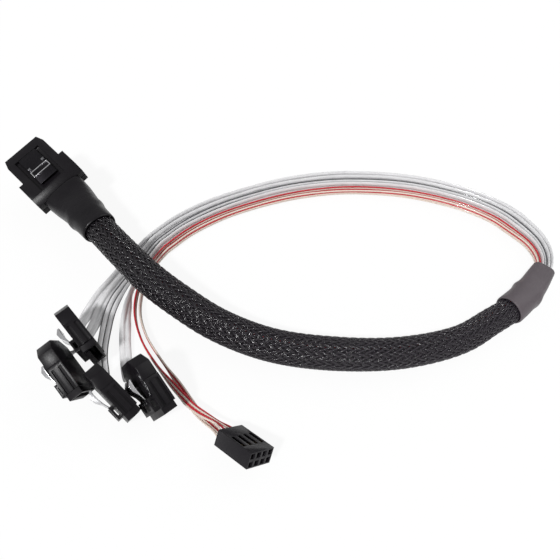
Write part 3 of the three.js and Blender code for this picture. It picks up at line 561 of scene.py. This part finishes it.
section, section_materials = leg_section()
leg_pieces = []
for slot, frames in enumerate(leg_frames):
    end = frames[-1]["distance"]
    rings = []
    for step in frames:
        fade = min(1, (end - step["distance"]) / STEADY_END)
        waver = sway(step["distance"], slot) * fade
        rings.append([beside(step, x + waver, y) for x, y in section])
    strip = Sweep()
    strip.add(rings, [step["distance"] for step in frames], section_materials)
    web_finish = DARK_EDGE if slot == 2 else CLEAR_WEB
    leg_pieces.append(strip.piece(f"leg_{slot + 1}_foil_strip", [REFLECTION_PAINTED_FOIL, web_finish]))
print("legs:", sum(len(piece.data.polygons) for piece in leg_pieces), "faces")

# %% [markdown]
# ## The sideband wires
# Each row is four thin insulated wires side by side. They keep together until just before the
# two-row connector and open out a little as they enter its rear. Most are pale, three are red.

# %% Make the two rows of wires
WIRE_RADIUS, WIRE_SIDES, END_PITCH, OPENING = 0.33, 8, 1.7, 6
STRAY_ACROSS, STRAY_UP, STRAY_PER_MM, WIRE_PHASE, ROW_PHASE = 0.3, 0.12, 0.03, 3.1, 5.7
UP_PHASE = Vector((0, 50, 0))
WIRE_COLOURS = [(1, 0, 1, 0), (1, 1, 0, 1)]


def wire_row(row, frames):
    end = frames[-1]["distance"]
    strands = Sweep()
    for number in range(4):
        rings = []
        for step in frames:
            left = (end - step["distance"]) / OPENING
            spread = max(0, 1 - left)
            spread = spread * spread * (3 - 2 * spread)
            loose = looseness(step["distance"], 20, 25) * min(1, left / 2)
            pitch = WIRE_ROW_WIDTH / 4 * (1 - spread) + END_PITCH * spread
            stray = Vector((step["distance"] * STRAY_PER_MM, number * WIRE_PHASE, row * ROW_PHASE))
            across = loose * STRAY_ACROSS * noise.noise(stray)
            height = (number - 1.5) * pitch + loose * STRAY_UP * noise.noise(stray + UP_PHASE)
            ring = []
            for s in range(WIRE_SIDES):
                angle = 2 * math.pi * s / WIRE_SIDES
                ring.append(beside(step, across + WIRE_RADIUS * math.cos(angle),
                                   height + WIRE_RADIUS * math.sin(angle)))
            rings.append(ring)
        colour = WIRE_COLOURS[row][number]
        strands.add(rings, [step["distance"] for step in frames], [colour] * WIRE_SIDES)
    return strands.piece(f"sideband_wires_row_{row + 1}", [RED_WIRE, PALE_WIRE])


wire_pieces = [wire_row(row, frames) for row, frames in enumerate(side_frames)]

# %% [markdown]
# ## The braid
# An expandable sleeve is woven from flat bundles of fine filament, half of them winding one way
# and half the other, each passing over two and under two. Real strands are modelled, because the
# small openings between them are what makes the sleeve sparkle: a bump on a tube would not.

# %% Make the braided sleeve
CARRIERS, CROSSING_MM, RINGS_PER_CROSSING = 24, 1.5, 2
STRAND_SHARE, STRAND_RISE, WEAVE_RISE, WEAVE_INSET = 0.35, 0.2, 0.17, 0.32
PLUG_SLEEVE, BREAKOUT_SLEEVE, TUCKED = 26.5, 25.5, 5.5
BRAID_FROM, BRAID_TO = PLUG_SLEEVE - TUCKED, TRUNK_LENGTH - (BREAKOUT_SLEEVE - TUCKED)


def trunk_at(distance):
    """The trunk's frame and half sizes at a distance from the plug, blended between steps."""
    low, high = 0, len(trunk) - 1
    while high - low > 1:
        middle = (low + high) // 2
        if trunk[middle]["distance"] <= distance:
            low = middle
        else:
            high = middle
    near, far = trunk[low], trunk[high]
    blend = (distance - near["distance"]) / (far["distance"] - near["distance"])
    mixed = {key: near[key].lerp(far[key], blend)
             for key in ("place", "side", "up", "half", "ahead")}
    mixed["distance"] = distance
    return mixed


def weave_height(strand, way, crossing):
    """1 where the strand is over at a crossing, -1 where it is under."""
    other = strand + crossing * way
    over = (strand + other) % 4 < 2
    return 1 if over == (way > 0) else -1


def braid():
    count = int((BRAID_TO - BRAID_FROM) / CROSSING_MM) * RINGS_PER_CROSSING
    steps = [trunk_at(BRAID_FROM + i * CROSSING_MM / RINGS_PER_CROSSING) for i in range(count + 1)]
    weave = Sweep()
    for way in (1, -1):
        for strand in range(CARRIERS):
            rings = []
            for i, step in enumerate(steps):
                crossing = i / RINGS_PER_CROSSING
                low = int(crossing)
                part = crossing - low
                height = ((1 - part) * weave_height(strand, way, low)
                          + part * weave_height(strand, way, low + 1))
                angle = 2 * math.pi * (strand + way * crossing / 2) / CARRIERS
                cosine, sine = math.cos(angle), math.sin(angle)
                a, b = step["half"].x - WEAVE_INSET, step["half"].y - WEAVE_INSET
                square = step["half"].z
                centre = beside(step, a * bulge(cosine, square), b * bulge(sine, square))
                outward = (step["side"] * cosine * b + step["up"] * sine * a).normalized()
                round_way = (step["up"] * cosine * b - step["side"] * sine * a) * way
                turn = math.pi / CARRIERS / CROSSING_MM
                spacing = 2 * math.pi / CARRIERS * round_way.length
                along = (step["ahead"] + round_way * turn).normalized()
                across = along.cross(outward) * way
                middle = centre + outward * height * WEAVE_RISE
                rise = outward * STRAND_RISE
                wide = across * STRAND_SHARE * spacing
                ring = [middle + wide, middle + rise, middle - wide, middle - rise]
                rings.append(ring if way < 0 else ring[::-1])
            weave.add(rings, [step["distance"] for step in steps], [0] * 4)
    return weave.piece("braided_sleeve_weave", [BRAID]), steps


def braid_finish():
    finish = Finish("braid_filament", IOR=1.55)
    along = finish.node("ShaderNodeSeparateXYZ", inputs={0: finish.place("UV")})
    # Painted sheen: the weave is painted lighter and greyer toward the breakout, by distance along
    # the cord, with a random mottle over it.
    painted_sheen_and_mottle = 0.75 / TRUNK_LENGTH * along + 0.25 * finish.clouds(500, 2)
    finish.drive("Base Color",
                 finish.blend(painted_sheen_and_mottle, (0.0035, 0.0028, 0.0042), (0.034, 0.028, 0.037)))
    finish.drive("Roughness", 0.13 + 0.16 * finish.clouds(1800, 2))
    filaments = finish.node("ShaderNodeTexWave", {"bands_direction": "Y"},
                            {"Vector": finish.place("UV"), "Scale": 3.2, "Distortion": 0.0})
    finish.bump(filaments, 0.06)
    return finish.material


BRAID = braid_finish()
braid_piece, braid_steps = braid()
print("braid:", len(braid_piece.data.polygons), "faces")

# %% [markdown]
# ## The two shrink sleeves
# A shrink sleeve is a soft wall that took the shape of what is under it: nearly square over the
# plug's tail, round over the braid, with a rolled rim at each end. A bump on its two sides, given
# by where it is along the sleeve, how long and how deep, shows where something lies beneath.

# %% Make the shrink sleeves
SHRINK_SIDES, SHRINK_WALL, SHRINK_GAP, RING_MM = 64, 0.6, 0.3, 0.6
DENT, DENTS_ROUND, DENTS_PER_MM = 0.12, 1.4, 0.16
ROLL_DEPTH, ROLL_LENGTH = 0.25, 0.8


def shrink_ring(step, grow, side_bump, phase):
    ring = []
    for s in range(SHRINK_SIDES):
        angle = 2 * math.pi * s / SHRINK_SIDES
        x = bulge(math.cos(angle), step["half"].z)
        y = bulge(math.sin(angle), step["half"].z)
        spot = Vector((x * DENTS_ROUND, y * DENTS_ROUND, step["distance"] * DENTS_PER_MM + phase))
        dent = DENT * noise.noise(spot)
        side = side_bump * math.cos(angle) ** 2
        wide, high = step["half"].x + grow + dent + side, step["half"].y + grow + dent
        ring.append(beside(step, wide * x, high * y))
    return ring


def shrink_sleeve(name, start, end, material, bumps, phase):
    count = int((end - start) / RING_MM)
    outer, inner, distances = [], [], []
    for i in range(count + 1):
        distance = start + (end - start) * i / count
        step = trunk_at(distance)
        rim = min(distance - start, end - distance)
        roll = ROLL_DEPTH * max(0, 1 - rim / ROLL_LENGTH) ** 2
        side_bump = sum(depth * math.exp(-((i / count - place) / length) ** 2)
                        for place, length, depth in bumps)
        outer.append(shrink_ring(step, SHRINK_GAP + SHRINK_WALL - roll, side_bump, phase))
        inner.append(shrink_ring(step, SHRINK_GAP, side_bump, phase))
        distances.append(distance)
    wall = Sweep()
    wall.add(outer + inner[::-1] + outer[:1], distances + distances[::-1] + distances[:1],
             [0] * SHRINK_SIDES, closed_ends=False)
    piece = wall.piece(name, [material])
    pick(piece)
    bpy.ops.object.mode_set(mode="EDIT")
    bpy.ops.mesh.select_all(action="SELECT")
    bpy.ops.mesh.remove_doubles(threshold=1e-7)
    bpy.ops.mesh.normals_make_consistent(inside=False)
    bpy.ops.object.mode_set(mode="OBJECT")
    return piece


plug_shrink = shrink_sleeve("plug_shrink_sleeve", 0.0, PLUG_SLEEVE,
                            PLUG_SHRINK, [(0.62, 0.07, 0.5)], 3.0)
breakout_shrink = shrink_sleeve("breakout_shrink_sleeve",
                                TRUNK_LENGTH - BREAKOUT_SLEEVE, TRUNK_LENGTH,
                                SHEEN_PAINTED_BREAKOUT_SHRINK, [(0.42, 0.07, 0.5)], 9.0)

# %% [markdown]
# ## Soft edges on the moulded pieces
# The frame's rigid pieces have the right shape with razor edges. No mould makes those: a copy of
# each is welded, cleaned and given a fine bevel, so that its edges catch a thin line of light.
# On the plug's latch, what stands above the leaf takes the bright steel: the hooks and the tab's
# rim.

# %% Bevel copies of the rigid pieces
def dressed(node, bevel_mm, material, body="cable"):
    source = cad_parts[node]
    piece = bpy.data.objects.new(f"{node}_moulded", source.data.copy())
    bpy.context.scene.collection.objects.link(piece)
    piece.data.materials.clear()
    piece.data.materials.append(material)
    pick(piece)
    bpy.ops.object.mode_set(mode="EDIT")
    bpy.ops.mesh.select_all(action="SELECT")
    bpy.ops.mesh.remove_doubles(threshold=1e-6)
    bpy.ops.mesh.dissolve_limited(angle_limit=math.radians(1))
    bpy.ops.object.mode_set(mode="OBJECT")
    if bevel_mm:
        bevel = piece.modifiers.new("edge", "BEVEL")
        bevel.width = bevel_mm * MM
        bevel.segments = 2
        bevel.limit_method = "ANGLE"
        bevel.angle_limit = math.radians(35)
        bevel.use_clamp_overlap = True
        bpy.ops.object.modifier_apply(modifier=bevel.name)
    bpy.ops.object.shade_smooth_by_angle(angle=math.radians(38))
    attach(piece, body)
    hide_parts(node)
    return piece


dressed("plug_upper_shell", 0.35, BLACK_PLASTIC)
dressed("plug_lower_shell", 0.35, BLACK_PLASTIC)
dressed("plug_wire_clamp", 0.15, BLACK_PLASTIC)
dressed("plug_paddle_card", 0.05, BOARD_GREEN)
plug_latch_piece = dressed("plug_latch", 0.06, DARK_STEEL, "plug_latch_leaf")
plug_latch_piece.data.materials.append(LATCH_STEEL)
BRIGHT_STEEL_ABOVE = 4.45
to_plug = plug_matrix.inverted()
for face in plug_latch_piece.data.polygons:
    height = (to_plug @ (face.center / MM - ORIGIN_SHIFT)).z
    face.material_index = int(height > BRIGHT_STEEL_ABOVE)
for number in (1, 2, 3, 4):
    parts = [
        dressed(f"drive_{number}_housing", 0.22, BLACK_PLASTIC),
        dressed(f"drive_{number}_backshell", 0.35, BLACK_PLASTIC),
        dressed(f"drive_{number}_contact_wafer", 0.08, WAFER_PLASTIC),
        dressed(f"drive_{number}_latch", 0.05, LATCH_STEEL,
                f"drive_{number}_latch_leaf"),
    ]
header_piece = dressed("sideband_housing", 0.08, HEADER_PLASTIC)
terminal_pieces = [dressed(f"sideband_terminal_{number}", 0.05, CONTACT_GOLD)
                   for number in range(1, 9)]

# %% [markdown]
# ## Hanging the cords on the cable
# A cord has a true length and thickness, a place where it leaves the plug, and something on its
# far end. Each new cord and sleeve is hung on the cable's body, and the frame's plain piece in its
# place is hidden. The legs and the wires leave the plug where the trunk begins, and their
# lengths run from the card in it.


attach(braid_piece, "cable")
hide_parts("braided_sleeve")
for piece, node in ((plug_shrink, "plug_heat_shrink"), (breakout_shrink, "breakout_heat_shrink")):
    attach(piece, "cable")
    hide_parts(node)
for slot, (piece, frames) in enumerate(zip(leg_pieces, leg_frames)):
    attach(piece, "cable")
    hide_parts(f"leg_{slot + 1}")
for row, (piece, frames) in enumerate(zip(wire_pieces, side_frames)):
    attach(piece, "cable")
    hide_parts(f"sideband_ribbon_{row + 1}")
    [header_piece] + terminal_pieces[4 * (1 - row):8 - 4 * row]

# %% [markdown]
# ## Floor and light
# The photograph is a cut-out on white with almost no shadow. A pale floor lies just under the
# cable. To the camera it is mostly plain white, and it keeps a little of the cable's shadow.

# %% Floor, lamps and sky
FLOOR_SIZE, FLOOR_DROP = 4.0, 0.0001
bpy.ops.object.select_all(action="DESELECT")
bpy.ops.mesh.primitive_plane_add(size=FLOOR_SIZE, location=(0, 0, -FLOOR_DROP))
floor = bpy.context.object
floor.name = "floor"
floor_finish = Finish("floor_white", Roughness=0.9)
floor_finish.shader.inputs["Base Color"].default_value = (0.9, 0.9, 0.9, 1)
glow = floor_finish.node("ShaderNodeEmission", inputs={"Color": (1, 1, 1, 1), "Strength": 1.0})
seen = floor_finish.node("ShaderNodeLightPath", output="Is Camera Ray")
mixed = floor_finish.node("ShaderNodeMixShader", inputs={
    0: seen * 0.9, 1: Wire(floor_finish, floor_finish.shader.outputs[0]), 2: glow})
floor_finish.tree.links.new(mixed.socket, floor_finish.tree.nodes["Material Output"].inputs[0])
floor.data.materials.append(floor_finish.material)


def sun(name, strength, soft_degrees, tilt, turn):
    data = bpy.data.lights.new(name, "SUN")
    data.energy = strength
    data.angle = math.radians(soft_degrees)
    lamp = bpy.data.objects.new(name, data)
    bpy.context.scene.collection.objects.link(lamp)
    lamp.rotation_euler = (math.radians(tilt), 0, math.radians(turn))


sun("key_lamp", 2.4, 7, 38, -30)
sun("fill_lamp", 0.6, 50, 50, 120)
world = bpy.data.worlds.new("studio")
bpy.context.scene.world = world
world.use_nodes = True
sky = world.node_tree
background = sky.nodes["Background"]
light_path = sky.nodes.new("ShaderNodeLightPath")
either = sky.nodes.new("ShaderNodeMath")
either.operation = "MAXIMUM"
sky.links.new(light_path.outputs["Is Camera Ray"], either.inputs[0])
sky.links.new(light_path.outputs["Is Transmission Ray"], either.inputs[1])
strength = sky.nodes.new("ShaderNodeMapRange")
strength.inputs["To Min"].default_value = 0.42
strength.inputs["To Max"].default_value = 1.0
sky.links.new(either.outputs[0], strength.inputs["Value"])
sky.links.new(strength.outputs[0], background.inputs["Strength"])
background.inputs["Color"].default_value = (1, 1, 1, 1)
